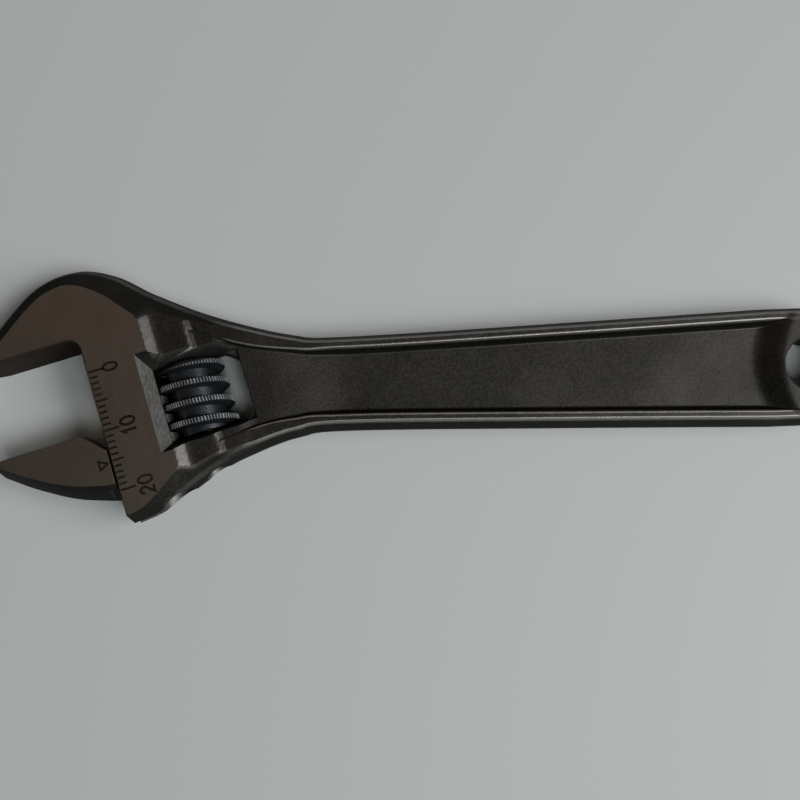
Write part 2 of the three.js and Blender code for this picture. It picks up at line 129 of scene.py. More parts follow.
area_light("window", (0.60, -0.12, 0.56), (0.02, 0, 0), (0.50, 0.45), 9.5, (1.0, 0.99, 0.97))
area_light("skylight", (0.30, -0.34, 0.90), (0.03, 0, 0), (0.3, 0.3), 4.0, (0.98, 1.0, 0.97))
area_light("warm_wall", (-0.25, 0.45, 0.75), (0, 0.01, 0), (0.3, 0.3), 0.6, (1.0, 0.72, 0.52))

world = bpy.data.worlds.new("room")
scene.world = world
world.use_nodes = True
world.node_tree.nodes["Background"].inputs["Color"].default_value = (0.62, 0.64, 0.66, 1)
world.node_tree.nodes["Background"].inputs["Strength"].default_value = 0.09

# ---- Wrench body ---------------------------------------------------------------------------
# One drop forging in chrome-vanadium steel, dark phosphated. The head's two faces, the
# gripping face and the front edge are then ground bare, and the window, bores and slot cut.
mounts = {m["name"]: m for m in frame["record"]["mounts"]}
joints = {j["name"]: j for j in frame["joints"]}
body_low, body_high = (np.array(v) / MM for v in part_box("wrench_body"))
opening_way = np.array(mounts["fixed_jaw_face"]["axis"][:2])
handle_way = np.array([-opening_way[1], opening_way[0]])
JAW_FACE_POINT = 9.0  # front edge to the point that the record gives on each gripping face
throat = np.array(mounts["fixed_jaw_face"]["pos_m"][:2]) / MM + JAW_FACE_POINT * handle_way
mid = mounts["fixed_jaw_face"]["pos_m"][2] / MM
worm_place = np.array(joints["worm_spin"]["pos_m"][:2]) / MM
rest_opening = np.linalg.norm(
    np.array(mounts["movable_jaw_face"]["pos_m"]) - np.array(mounts["fixed_jaw_face"]["pos_m"])
) / MM

GROUND = mid  # heights over the mid-plane
BAND = 4.9
RIM = 4.5
PANEL = 3.7
RECESS_FLOOR = 2.3
PARTING_HALF = 1.0
SIDE_LEAN, CORNER_LEAN = 3.2, 5.0  # upper side: at the jaw, and where the ground face ends
NOSE_LEAN, LOWER_LEAN = 0.9, 3.8  # lower side: at the nose, and where the ground face ends
HANDLE_LEAN = 2.0
SIDE_STEEPNESS, SIDE_FALL = 3.2, 3.0
WINDOW_MIDDLE = -14.5
BAND_START, BAND_SLOPE = 10.1, 0.52
PANEL_START, PANEL_SLOPE = 16.9, 0.75
RIM_WIDTH, RIM_ROOT_WIDTH = 2.3, 3.7  # along the handle, and beside the window
RIM_WALL_SLOPE = 2.6
JAW_REACH = 18.5
THROAT_RADIUS = 2.0
NECK_X, NECK_HALF, END_HALF = 36.0, 7.9, 9.9
handle_end = body_high[0]
end_centre = handle_end - END_HALF
WINDOW_TOP, WINDOW_BOTTOM = -8.2, -20.8
WORM_SET_BACK = 15.3
WINDOW_FRONT, WINDOW_REAR = 9.81, 24.2
LIP_HEIGHT = 3.3  # where the window's straight walls start to open out
HOLE_X, HOLE_RADIUS = handle_end - 11.0, 4.5
GRIND_CHAMFER = 0.2
FORGED, BARE, CUT, MILLED = 0, 1, 2, 3  # material slots of the body and the jaw


def head_to_plan(a, b):
    """Plan point from the head's own frame: a from the front edge to the handle, b up the jaw."""
    a, b = np.asarray(a, float), np.asarray(b, float)
    return throat + a[..., None] * handle_way - b[..., None] * opening_way


def plan_to_head(x, y):
    dx, dy = x - throat[0], y - throat[1]
    return dx * handle_way[0] + dy * handle_way[1], -(dx * opening_way[0] + dy * opening_way[1])


def curve_through(points, per_span):
    """Catmull-Rom curve through plan points."""
    p = np.array(points, float)
    p = np.vstack([2 * p[0] - p[1], p, 2 * p[-1] - p[-2]])
    t = np.linspace(0, 1, per_span, endpoint=False)[:, None]
    spans = [
        0.5 * (2 * p[i] + (p[i + 1] - p[i - 1]) * t
               + (2 * p[i - 1] - 5 * p[i] + 4 * p[i + 1] - p[i + 2]) * t ** 2
               + (3 * p[i] - p[i - 1] - 3 * p[i + 1] + p[i + 2]) * t ** 3)
        for i in range(1, len(p) - 2)
    ]
    return np.vstack(spans + [p[-2:-1]])


FILL = 7.0  # how far the blank runs on past the faces that are ground on it
middle_x, middle_half = (NECK_X + end_centre) / 2, (NECK_HALF + END_HALF) / 2
lower_edge = np.vstack([
    [head_to_plan(-FILL, -31.9 - FILL * 0.1)],
    curve_through([
        head_to_plan(-0.4, -31.9), head_to_plan(5.4, -31), head_to_plan(15.1, -27.5),
        head_to_plan(22, -26.2), (NECK_X - 7, -NECK_HALF - 0.8), (NECK_X + 2, -NECK_HALF),
        (middle_x, -middle_half), (end_centre - 8, -END_HALF),
    ], 40),
])
upper_edge = np.vstack([
    curve_through([
        (end_centre - 8, END_HALF), (middle_x, middle_half), (NECK_X + 2, NECK_HALF),
        (NECK_X - 8, NECK_HALF + 0.7), head_to_plan(22.1, -2.2), head_to_plan(13.5, 4.4),
        head_to_plan(8, 9.4), head_to_plan(1.8, 12.2), head_to_plan(-5.5, 11.3),
        head_to_plan(-13.8, 5.9), head_to_plan(-JAW_REACH, 1.7),
    ], 40),
    [head_to_plan(-JAW_REACH - FILL, 1.7 - FILL * 0.9)],
])
turn = np.linspace(-math.pi / 2, math.pi / 2, 121)
round_end = np.stack([end_centre + END_HALF * np.cos(turn), END_HALF * np.sin(turn)], 1)
rim_line = np.vstack([lower_edge, round_end, upper_edge])


def distance_to(line):
    """Gives a function: the distance in plan from points to an open line."""
    tree = kdtree.KDTree(len(line))
    for index, point in enumerate(line):
        tree.insert((point[0], point[1], 0), index)
    tree.balance()

    def to_segment(p, start, end):
        along = end - start
        share = ((p - start) * along).sum(1) / np.maximum((along ** 2).sum(1), 1e-12)
        return np.linalg.norm(p - start - np.clip(share, 0, 1)[:, None] * along, axis=1)

    def distance(x, y):
        p = np.stack([x.ravel(), y.ravel()], 1)
        near = np.array([tree.find((u, v, 0))[1] for u, v in p])
        before, after = np.maximum(near - 1, 0), np.minimum(near + 1, len(line) - 1)
        d = np.minimum(to_segment(p, line[before], line[near]),
                       to_segment(p, line[near], line[after]))
        return d.reshape(x.shape)

    return distance


def resampled(line, step):
    """The same line with points no further apart than step."""
    gaps = np.linalg.norm(np.diff(line, axis=0), axis=1)
    run = np.concatenate([[0], np.cumsum(gaps)])
    s = np.linspace(0, run[-1], int(run[-1] / step) + 2)
    return np.stack([np.interp(s, run, line[:, 0]), np.interp(s, run, line[:, 1])], 1)


body_rim_distance = distance_to(resampled(rim_line, 0.25))


def soft_min(p, q, blend):
    h = np.clip(0.5 + 0.5 * (q - p) / blend, 0, 1)
    return q * (1 - h) + p * h - blend * h * (1 - h)


def soft_max(p, q, blend):
    return -soft_min(-p, -q, blend)


def side_height(inset, lean):
    """A forging's side: steep at the parting line, then a slope that meets the ground face's level."""
    steep = PARTING_HALF + SIDE_STEEPNESS * inset
    slope = GROUND - SIDE_FALL * (1 - inset / lean)
    return soft_min(steep, slope, 1.2)


def eased(value, start, end):
    share = np.clip((value - start) / (end - start), 0, 1)
    return share ** 2 * (3 - 2 * share)


def body_levels(x, y):
    """Heights over the mid-plane of the forging's broad face, and of the side that cuts it off."""
    inset = body_rim_distance(x, y)
    a, b = plan_to_head(x, y)
    to_corner = np.clip(a / BAND_START, 0, 1)
    upper_lean = SIDE_LEAN + (CORNER_LEAN - SIDE_LEAN) * to_corner
    lower_lean = NOSE_LEAN + (LOWER_LEAN - NOSE_LEAN) * to_corner
    lean = np.where(b > WINDOW_MIDDLE, upper_lean, lower_lean)
    lean = lean + (HANDLE_LEAN - lean) * eased(a, BAND_START, WINDOW_REAR + 4)
    side = side_height(inset, lean)
    floor = RIM - (RIM - PANEL) * eased(a, WINDOW_REAR - 3.5, WINDOW_REAR)
    floor = floor - (PANEL - RECESS_FLOOR) * eased(x, 24, 38)
    rim_width = RIM_WIDTH + (RIM_ROOT_WIDTH - RIM_WIDTH) * (1 - eased(x, 18, 36))
    wall = RIM - RIM_WALL_SLOPE * (inset - rim_width)
    recess = soft_max(floor, soft_min(wall, RIM, 0.25), 0.6)
    end_ramp = RIM + 0.6 * (x - (HOLE_X - 5.1) - y ** 2 / 30)
    recess = soft_max(recess, soft_min(end_ramp, RIM, 0.3), 0.5)
    to_panel = BAND - PANEL_SLOPE * (a - PANEL_START)
    right = soft_max(recess, to_panel, 0.3)
    to_band = GROUND - BAND_SLOPE * (a - BAND_START)
    left = soft_max(soft_min(right, BAND, 0.3), to_band, 0.3)
    return left, side


def body_height(x, y):
    """Height of the forging's upper surface over the mid-plane; the ground faces are cut from it."""
    face, side = body_levels(x, y)
    return soft_min(face, side, 0.4)


def edge_curve(height, x, y, reach=0.45):
    """How far a surface stands over its surroundings: above 0 on edges, below 0 in corners."""
    ring = [(math.cos(t) * reach, math.sin(t) * reach) for t in np.arange(6) * math.pi / 3]
    around = sum(height(x + dx, y + dy) for dx, dy in ring) / len(ring)
    return height(x, y) - around


def forged_blank(name, stations, lower, upper, rows, height, in_head=False):
    """A closed forging: a grid between two edges, lifted to height and mirrored below."""
    q = np.linspace(0, 1, rows)
    near_edge = 0.5 * (np.exp(2.0 * q) - 1) / (math.exp(2.0) - 1)
    share = np.concatenate([near_edge, 1 - near_edge[-2::-1]])
    x = np.repeat(stations[:, None], len(share), 1)
    y = lower(stations)[:, None] * (1 - share) + upper(stations)[:, None] * share
    if in_head:
        plan = head_to_plan(x, y)
        x, y = plan[..., 0], plan[..., 1]
    z = height(x, y)
    edge = np.zeros_like(z, bool)
    edge[:, 0] = edge[:, -1] = edge[-1, :] = True
    z[edge] = PARTING_HALF
    n, m = z.shape
    count = n * m
    points = np.concatenate([
        np.stack([x, y, mid + z], 2).reshape(-1, 3), np.stack([x, y, mid - z], 2).reshape(-1, 3),
    ]) * MM
    index = np.arange(count).reshape(n, m)
    quads = np.stack([index[:-1, :-1], index[1:, :-1], index[1:, 1:], index[:-1, 1:]], 2)
    upper_faces = quads.reshape(-1, 4)
    loop = np.concatenate([index[:-1, 0], index[-1, :-1], index[:0:-1, -1], index[0, :0:-1]])
    following = np.roll(loop, -1)
    side_faces = np.stack([following, loop, loop + count, following + count], 1)
    faces = np.concatenate([upper_faces, upper_faces[:, ::-1] + count, side_faces])
    return mesh_object(name, points, faces.tolist())


def mesh_object(name, points, faces):
    mesh = bpy.data.meshes.new(name)
    mesh.from_pydata(np.asarray(points).tolist(), [], faces)
    mesh.validate()
    piece = bpy.data.objects.new(name, mesh)
    scene.collection.objects.link(piece)
    return piece


def prism(name, outline, half, slot, flare=0.0):
    """A cutter in the head's frame: a (a, b) outline through the mid-plane, its faces in a slot."""
    outline = np.array(outline, float)
    if np.cross(outline - outline.mean(0), np.roll(outline, -1, 0) - outline.mean(0)).sum() < 0:
        outline = outline[::-1]
    plan = head_to_plan(outline[:, 0], outline[:, 1])
    levels = [(-half, plan), (half, plan)]
    if flare:
        ahead = np.roll(plan, -1, 0) - plan
        ahead /= np.linalg.norm(ahead, axis=1)[:, None]
        out = np.stack([ahead[:, 1], -ahead[:, 0]], 1)
        corner = out + np.roll(out, 1, 0)
        corner /= (corner ** 2).sum(1)[:, None] / 2
        wide = plan + corner * math.copysign(abs(flare) + half - GROUND, flare)
        turn_in = GROUND - abs(flare)
        levels = [(-half, wide), (-turn_in, plan), (turn_in, plan), (half, wide)]
    points = np.concatenate([
        np.column_stack([level, np.full(len(level), mid + z)]) for z, level in levels
    ]) * MM
    n = len(plan)
    faces = [list(range(n))[::-1], list(range((len(levels) - 1) * n, len(levels) * n))]
    for level in range(len(levels) - 1):
        for i in range(n):
            j = (i + 1) % n
            faces.append([level * n + i, level * n + j, (level + 1) * n + j, (level + 1) * n + i])
    cutter = mesh_object(name, points, faces)
    return in_slot(cutter, slot)


def in_slot(piece, slot):
    for material in steel_finishes:
        piece.data.materials.append(material)
    piece.data.polygons.foreach_set("material_index", [slot] * len(piece.data.polygons))
    return piece


def turned(name, profile, set_back, segments, slot):
    """A bar or bore along the jaw's travel: profile of (radius, b) from the low end, on the axis at both ends."""
    profile = np.array(profile, float)
    ring = np.linspace(0, 2 * math.pi, segments, endpoint=False)
    points = [head_point(set_back, profile[0, 1], 0)]
    for radius, b in profile[1:-1]:
        a = set_back + radius * np.cos(ring)
        points += [head_point(u, b, w) for u, w in zip(a, radius * np.sin(ring))]
    points.append(head_point(set_back, profile[-1, 1], 0))
    rings = len(profile) - 2
    last = len(points) - 1
    faces = []
    for i in range(segments):
        j = (i + 1) % segments
        faces.append([0, 1 + j, 1 + i])
        for r in range(rings - 1):
            low, high = 1 + r * segments, 1 + (r + 1) * segments
            faces.append([low + i, low + j, high + j, high + i])
        faces.append([last, last - segments + i, last - segments + j])
    return in_slot(outward(mesh_object(name, points, faces)), slot)


def head_point(a, b, z):
    plan = head_to_plan(a, b)
    return (plan[0] * MM, plan[1] * MM, (mid + z) * MM)


def outward(piece):
    """Turns a closed mesh's faces outward if its volume comes out negative."""
    mesh = piece.data
    mesh.calc_loop_triangles()
    corners = np.array([t.vertices for t in mesh.loop_triangles])
    p = np.array([v.co for v in mesh.vertices])
    volume = (p[corners[:, 0]] * np.cross(p[corners[:, 1]], p[corners[:, 2]])).sum()
    if volume < 0:
        mesh.flip_normals()
    return piece


def combine(piece, other, operation):
    """Adds, cuts away or keeps the common part, and drops the other piece."""
    modifier = piece.modifiers.new("fit", "BOOLEAN")
    modifier.object = other
    modifier.operation = operation
    modifier.solver = "MANIFOLD"
    depsgraph = bpy.context.evaluated_depsgraph_get()
    result = bpy.data.meshes.new_from_object(piece.evaluated_get(depsgraph))
    before = piece.data
    piece.modifiers.remove(modifier)
    piece.data = result
    bpy.data.meshes.remove(before)
    bpy.data.objects.remove(other)
    return piece


# Shader node groups that more than one steel uses.
def node_group(name, inputs, outputs):
    group = bpy.data.node_groups.new(name, "ShaderNodeTree")
    for label, value in inputs.items():
        kind = "NodeSocketColor" if isinstance(value, tuple) else "NodeSocketFloat"
        group.interface.new_socket(label, in_out="INPUT", socket_type=kind).default_value = value
    for label, kind in outputs.items():
        group.interface.new_socket(label, in_out="OUTPUT", socket_type=kind)
    return group, group.nodes.new("NodeGroupInput"), group.nodes.new("NodeGroupOutput")


def noise(tree, vector, scale, detail=4.0, roughness=0.6):
    node = add(tree, "ShaderNodeTexNoise", Scale=scale, Detail=detail, Roughness=roughness)
    tree.links.new(vector, node.inputs["Vector"])
    return node.outputs["Fac"]


def math_node(tree, operation, first, second=0.0, clamp=False):
    node = tree.nodes.new("ShaderNodeMath")
    node.operation = operation
    node.use_clamp = clamp
    for socket, value in zip(node.inputs, (first, second)):
        if isinstance(value, (int, float)):
            socket.default_value = value
        else:
            tree.links.new(value, socket)
    return node.outputs[0]


def spread(tree, value, low, high, to_low=0.0, to_high=1.0):
    node = add(tree, "ShaderNodeMapRange", From_Min=low, From_Max=high, To_Min=to_low, To_Max=to_high)
    tree.links.new(value, node.inputs["Value"])
    return node.outputs["Result"]


def mix_color(tree, share, first, second):
    node = tree.nodes.new("ShaderNodeMix")
    node.data_type = "RGBA"
    for socket, value in ((node.inputs["Factor"], share), (node.inputs[6], first), (node.inputs[7], second)):
        if isinstance(value, (int, float, tuple)):
            socket.default_value = value
        else:
            tree.links.new(value, socket)
    return node.outputs[2]


# Fine cast-like skin of a phosphated forging: a grey-black coat with pale specks and cloudy patches.
skin, skin_in, skin_out = node_group(
    "forged_skin",
    {"Dark": (0.05, 0.05, 0.05, 1), "Pale": (0.12, 0.12, 0.11, 1), "Speck Size": 2600.0},
    {"Color": "NodeSocketColor", "Roughness": "NodeSocketFloat", "Height": "NodeSocketFloat"},
)
place = skin.nodes.new("ShaderNodeTexCoord").outputs["Object"]
patches = spread(skin, noise(skin, place, 90.0, 3.0), 0.35, 0.68)
specks_node = add(skin, "ShaderNodeTexNoise", Detail=2.0, Roughness=0.7)
skin.links.new(place, specks_node.inputs["Vector"])
skin.links.new(skin_in.outputs["Speck Size"], specks_node.inputs["Scale"])
specks = spread(skin, specks_node.outputs["Fac"], 0.38, 0.72)
pits = spread(skin, noise(skin, place, 1900.0, 3.0), 0.3, 0.7)
tone = math_node(skin, "ADD", math_node(skin, "MULTIPLY", patches, 0.55), math_node(skin, "MULTIPLY", specks, 0.45))
skin.links.new(mix_color(skin, tone, skin_in.outputs["Dark"], skin_in.outputs["Pale"]), skin_out.inputs["Color"])
skin.links.new(spread(skin, specks, 0, 1, 0.40, 0.58), skin_out.inputs["Roughness"])
skin.links.new(
    math_node(skin, "ADD", math_node(skin, "MULTIPLY", specks, 0.45), pits), skin_out.inputs["Height"],
)

# Edge wear where the coat has rubbed through on edges (on the body also a painted highlight on two bevels), and
# painted shade that darkens concave corners.
wear_and_light, wear_and_light_in, wear_and_light_out = node_group(
    "edge_wear_and_painted_light",
    {"Edge Start": 0.05, "Edge Full": 0.2, "Corner Start": -0.04, "Corner Full": -0.2, "Breakup": 0.5},
    {"Wear And Highlight": "NodeSocketFloat", "Corner Shade": "NodeSocketFloat"},
)
curve = wear_and_light.nodes.new("ShaderNodeAttribute")
curve.attribute_name = "edge_curve"
ragged = noise(wear_and_light, wear_and_light.nodes.new("ShaderNodeTexCoord").outputs["Object"], 700.0, 5.0)
ragged = math_node(wear_and_light, "MULTIPLY", math_node(wear_and_light, "SUBTRACT", ragged, 0.5), wear_and_light_in.outputs["Breakup"])
broken_curve = math_node(wear_and_light, "ADD", curve.outputs["Fac"], math_node(wear_and_light, "MULTIPLY", ragged, 0.25))
for label, start, full in (("Wear And Highlight", "Edge Start", "Edge Full"), ("Corner Shade", "Corner Start", "Corner Full")):
    span = wear_and_light.nodes.new("ShaderNodeMapRange")
    wear_and_light.links.new(broken_curve, span.inputs["Value"])
    wear_and_light.links.new(wear_and_light_in.outputs[start], span.inputs["From Min"])
    wear_and_light.links.new(wear_and_light_in.outputs[full], span.inputs["From Max"])
    wear_and_light.links.new(span.outputs["Result"], wear_and_light_out.inputs[label])

# Ground or milled lines: long thin noise across one direction in the plan, seen as fine scratches.
lines, lines_in, lines_out = node_group(
    "tool_lines",
    {"Angle": 0.0, "Fineness": 4200.0, "Length": 0.02},
    {"Lines": "NodeSocketFloat", "Clouds": "NodeSocketFloat"},
)
turned_place = add(lines, "ShaderNodeVectorRotate", rotation_type="Z_AXIS")
lines.links.new(lines.nodes.new("ShaderNodeTexCoord").outputs["Object"], turned_place.inputs["Vector"])
lines.links.new(lines_in.outputs["Angle"], turned_place.inputs["Angle"])
stretch = lines.nodes.new("ShaderNodeVectorMath")
stretch.operation = "MULTIPLY"
stretch_by = lines.nodes.new("ShaderNodeCombineXYZ")
lines.links.new(lines_in.outputs["Length"], stretch_by.inputs["X"])
stretch_by.inputs["Y"].default_value = 1.0
stretch_by.inputs["Z"].default_value = 1.0
lines.links.new(turned_place.outputs[0], stretch.inputs[0])
lines.links.new(stretch_by.outputs[0], stretch.inputs[1])
fine = add(lines, "ShaderNodeTexNoise", Detail=3.0, Roughness=0.65)
lines.links.new(stretch.outputs[0], fine.inputs["Vector"])
lines.links.new(lines_in.outputs["Fineness"], fine.inputs["Scale"])
lines.links.new(spread(lines, fine.outputs["Fac"], 0.3, 0.7), lines_out.inputs["Lines"])
lines.links.new(
    spread(lines, noise(lines, turned_place.outputs[0], 60.0, 4.0), 0.3, 0.7), lines_out.inputs["Clouds"],
)


def steel(name, metallic, edge_shine=0.3):
    """A new material with its shader and output joined: returns the material, its tree and the shader."""
    material = bpy.data.materials.new(name)
    tree = nodes_of(material)
    tint = (edge_shine, edge_shine, edge_shine, 1)
    shader = add(tree, "ShaderNodeBsdfPrincipled", Metallic=metallic, Specular_Tint=tint)
    output = add(tree, "ShaderNodeOutputMaterial")
    tree.links.new(shader.outputs[0], output.inputs["Surface"])
    return material, tree, shader


def grouped(tree, group, **values):
    node = tree.nodes.new("ShaderNodeGroup")
    node.node_tree = group
    for key, value in values.items():
        node.inputs[key.replace("_", " ")].default_value = value
    return node


def bump(tree, shader, height, strength, distance):
    node = add(tree, "ShaderNodeBump", Strength=strength, Distance=distance)
    tree.links.new(height, node.inputs["Height"])
    tree.links.new(node.outputs[0], shader.inputs["Normal"])


forged_steel, tree, shader = steel("forged_phosphated_steel", 0.75)
coat = grouped(tree, skin, Dark=(0.017, 0.0165, 0.0155, 1), Pale=(0.036, 0.0345, 0.032, 1))
# Masks for edge wear (with a painted highlight on the body's two bevels) and for painted shade in concave corners.
wear_and_light_masks = grouped(tree, wear_and_light, Edge_Start=0.08, Edge_Full=0.34, Breakup=0.25)
color = mix_color(tree, wear_and_light_masks.outputs["Wear And Highlight"], coat.outputs["Color"], (0.30, 0.29, 0.275, 1))
# Painted shade: concave corners are darkened towards near-black.
color = mix_color(tree, math_node(tree, "MULTIPLY", wear_and_light_masks.outputs["Corner Shade"], 0.6), color, (0.03, 0.028, 0.025, 1))
tree.links.new(color, shader.inputs["Base Color"])
tree.links.new(
    math_node(tree, "SUBTRACT", coat.outputs["Roughness"], math_node(tree, "MULTIPLY", wear_and_light_masks.outputs["Wear And Highlight"], 0.1)),
    shader.inputs["Roughness"],
)
bump(tree, shader, coat.outputs["Height"], 0.16, 0.00005)

bare_steel, tree, shader = steel("ground_bare_steel", 0.95)
ground = grouped(tree, lines, Angle=math.radians(62), Fineness=7500.0, Length=0.04)
color = mix_color(tree, ground.outputs["Clouds"], (0.095, 0.080, 0.068, 1), (0.118, 0.101, 0.086, 1))
color = mix_color(tree, math_node(tree, "MULTIPLY", ground.outputs["Lines"], 0.15), color, (0.20, 0.18, 0.165, 1))
tree.links.new(color, shader.inputs["Base Color"])
tree.links.new(spread(tree, ground.outputs["Lines"], 0, 1, 0.38, 0.45), shader.inputs["Roughness"])
bump(tree, shader, ground.outputs["Lines"], 0.08, 0.00002)

milled_steel, tree, shader = steel("milled_steel", 0.9)
ground = grouped(tree, lines, Angle=0.3, Fineness=2600.0, Length=0.1)
color = mix_color(tree, ground.outputs["Clouds"], (0.08, 0.078, 0.074, 1), (0.13, 0.127, 0.12, 1))
tree.links.new(color, shader.inputs["Base Color"])
tree.links.new(spread(tree, ground.outputs["Lines"], 0, 1, 0.38, 0.5), shader.inputs["Roughness"])
bump(tree, shader, ground.outputs["Lines"], 0.3, 0.00005)

bright_steel, tree, shader = steel("fresh_milled_steel", 0.95)
ground = grouped(tree, lines, Angle=-1.3, Fineness=3000.0, Length=0.06)
color = mix_color(tree, ground.outputs["Clouds"], (0.29, 0.29, 0.28, 1), (0.37, 0.37, 0.355, 1))
tree.links.new(color, shader.inputs["Base Color"])
tree.links.new(spread(tree, ground.outputs["Lines"], 0, 1, 0.36, 0.5), shader.inputs["Roughness"])
bump(tree, shader, ground.outputs["Lines"], 0.3, 0.00004)

steel_finishes = [forged_steel, bare_steel, milled_steel, bright_steel]


def lower_body_edge(x):
    line = np.vstack([lower_edge, round_end[:len(round_end) // 2 + 1]])
    return np.interp(x, line[:, 0], line[:, 1])


def upper_body_edge(x):
    line = np.vstack([round_end[len(round_end) // 2:], upper_edge])[::-1]
    return np.interp(x, line[:, 0], line[:, 1])


x_first = upper_edge[-1][0]
end_turn = np.linspace(0, math.pi / 2, 50)[1:-1]
body_stations = np.concatenate([
    np.arange(x_first, NECK_X, 0.38), np.arange(NECK_X, HOLE_X - 12, 1.0),
    np.arange(HOLE_X - 12, end_centre, 0.45),
    end_centre + END_HALF * np.sin(end_turn), [handle_end - 0.004],
])
body = forged_blank("wrench_forging", body_stations, lower_body_edge, upper_body_edge, 95, body_height)
in_slot(body, FORGED)

throat_turn = np.linspace(math.pi / 2, 0, 16)
throat_bend = [(-THROAT_RADIUS + THROAT_RADIUS * math.cos(t), -THROAT_RADIUS + THROAT_RADIUS * math.sin(t))
               for t in throat_turn]
SPAN = 60.0
opening = [(0, -SPAN), (-SPAN, -SPAN), (-SPAN, SPAN), (-JAW_REACH, SPAN), (-JAW_REACH, 0)] + throat_bend
combine(body, prism("cut_opening", opening, 9, BARE, GRIND_CHAMFER), "DIFFERENCE")
slab = [(-SPAN, -SPAN), (3 * SPAN, -SPAN), (3 * SPAN, 2 * SPAN), (-SPAN, 2 * SPAN)]
combine(body, prism("keep_ground_faces", slab, GROUND, BARE), "INTERSECT")

CORNER = 1.5
REAR_DROP = 1.7  # the window's upper end slants down behind the worm
MOUTH_TURN, MOUTH_FALL = 20.5, 0.6  # where the mouth's upper side turns down, and how far


def rounded_window():
    corner_b = WINDOW_BOTTOM + CORNER
    low = [(WINDOW_REAR - CORNER + CORNER * math.sin(t), corner_b - CORNER * math.cos(t))
           for t in np.linspace(0, math.pi / 2, 8)]
    high = [(WINDOW_REAR, WINDOW_TOP - REAR_DROP - 0.7), (WINDOW_REAR - 0.25, WINDOW_TOP - REAR_DROP - 0.2),
            (WINDOW_REAR - 0.7, WINDOW_TOP - REAR_DROP + 0.15), (WORM_SET_BACK + 6, WINDOW_TOP)]
    return [(WINDOW_FRONT, WINDOW_BOTTOM)] + low + high + [(WINDOW_FRONT, WINDOW_TOP)]


def window_mouth(name, above):
    """Cuts the slopes round the window: a broad bright one milled at the front, forged ones elsewhere."""
    low, high = LIP_HEIGHT - 0.5, GROUND + 1
    points = []
    for z in (low, high):
        rise = z - LIP_HEIGHT
        front, rear = WINDOW_FRONT - rise / 1.6, WINDOW_REAR + rise / 3
        bottom, top = WINDOW_BOTTOM - rise / 1.9, WINDOW_TOP + rise / 0.95
        corners = [(front, bottom), (rear, bottom), (rear, WINDOW_TOP - MOUTH_FALL), (MOUTH_TURN, top), (front, top)]
        points += [head_point(a, b, z if above else -z) for a, b in corners]
    faces = [[4, 3, 2, 1, 0], [5, 6, 7, 8, 9]] + [[i, (i + 1) % 5, (i + 1) % 5 + 5, i + 5] for i in range(5)]
    cutter = in_slot(outward(mesh_object(name, points, faces)), FORGED)
    cutter.data.polygons[6].material_index = MILLED
    return cutter


combine(body, window_mouth("cut_front_mouth", True), "DIFFERENCE")
combine(body, window_mouth("cut_back_mouth", False), "DIFFERENCE")
RUN = 0.3  # running gap between pieces
RAIL_RADIUS, RAIL_SET_BACK, RAIL_LEAD, RAIL_TIP = 3.1, 7.7, 5.95, 1.3
WEB_HALF, WEB_DROP, WEB_DEPTH = 1.5, 0.5, 10.6
PIN_RADIUS, SCREW_RADIUS, PIN_SEAT = 1.4, 2.0, 2.7
combine(body, prism("cut_window", rounded_window(), 9, CUT), "DIFFERENCE")
bore = RAIL_RADIUS + RUN
combine(body, turned("cut_bore", [
    (0, -SPAN), (bore, -SPAN), (bore, RAIL_LEAD + RUN - RAIL_TIP),
    (bore - RAIL_TIP, RAIL_LEAD + RUN), (0, RAIL_LEAD + RUN),
], RAIL_SET_BACK, 96, CUT), "DIFFERENCE")
slot_outline = [(-2, -SPAN), (RAIL_SET_BACK, -SPAN), (RAIL_SET_BACK, -WEB_DROP + RUN), (-2, -WEB_DROP + RUN)]
combine(body, prism("cut_slot", slot_outline, WEB_HALF + RUN, CUT), "DIFFERENCE")
combine(body, turned("cut_screw_hole", [
    (0, -SPAN), (SCREW_RADIUS + RUN, -SPAN), (SCREW_RADIUS + RUN, WINDOW_BOTTOM + 2),
    (PIN_RADIUS + RUN, WINDOW_BOTTOM + 2), (PIN_RADIUS + RUN, WINDOW_TOP + PIN_SEAT + RUN),
    (0, WINDOW_TOP + PIN_SEAT + RUN),
], WORM_SET_BACK, 64, CUT), "DIFFERENCE")


def hole_cutter():
    ring = np.linspace(0, 2 * math.pi, 96, endpoint=False)
    mouth = 0.4
    levels = [(-9, HOLE_RADIUS + mouth + 9 - RIM), (-RIM + mouth, HOLE_RADIUS),
              (RIM - mouth, HOLE_RADIUS), (9, HOLE_RADIUS + mouth + 9 - RIM)]
    points = [((HOLE_X + r * math.cos(t)) * MM, r * math.sin(t) * MM, (mid + z) * MM)
              for z, r in levels for t in ring]
    n = len(ring)
    faces = [list(range(n))[::-1], list(range(3 * n, 4 * n))]
    for level in range(3):
        for i in range(n):
            j = (i + 1) % n
            faces.append([level * n + i, level * n + j, (level + 1) * n + j, (level + 1) * n + i])
    return in_slot(outward(mesh_object("cut_hole", points, faces)), CUT)


combine(body, hole_cutter(), "DIFFERENCE")


def part_finishes(mesh):
    """A crisp edge wherever two finishes meet; ground and milled faces stay flat."""
    slots = np.zeros(len(mesh.polygons), np.int32)
    mesh.polygons.foreach_get("material_index", slots)
    mesh.polygons.foreach_set("use_smooth", (slots != BARE) & (slots != MILLED))
    loop_edges = np.zeros(len(mesh.loops), np.int32)
    mesh.loops.foreach_get("edge_index", loop_edges)
    sizes = np.zeros(len(mesh.polygons), np.int32)
    mesh.polygons.foreach_get("loop_total", sizes)
    loop_slots = np.repeat(slots, sizes)
    lowest = np.full(len(mesh.edges), 9)
    highest = np.full(len(mesh.edges), -1)
    np.minimum.at(lowest, loop_edges, loop_slots)
    np.maximum.at(highest, loop_edges, loop_slots)
    sharp = np.zeros(len(mesh.edges), bool)
    mesh.edges.foreach_get("use_edge_sharp", sharp)
    mesh.edges.foreach_set("use_edge_sharp", sharp | (lowest != highest))


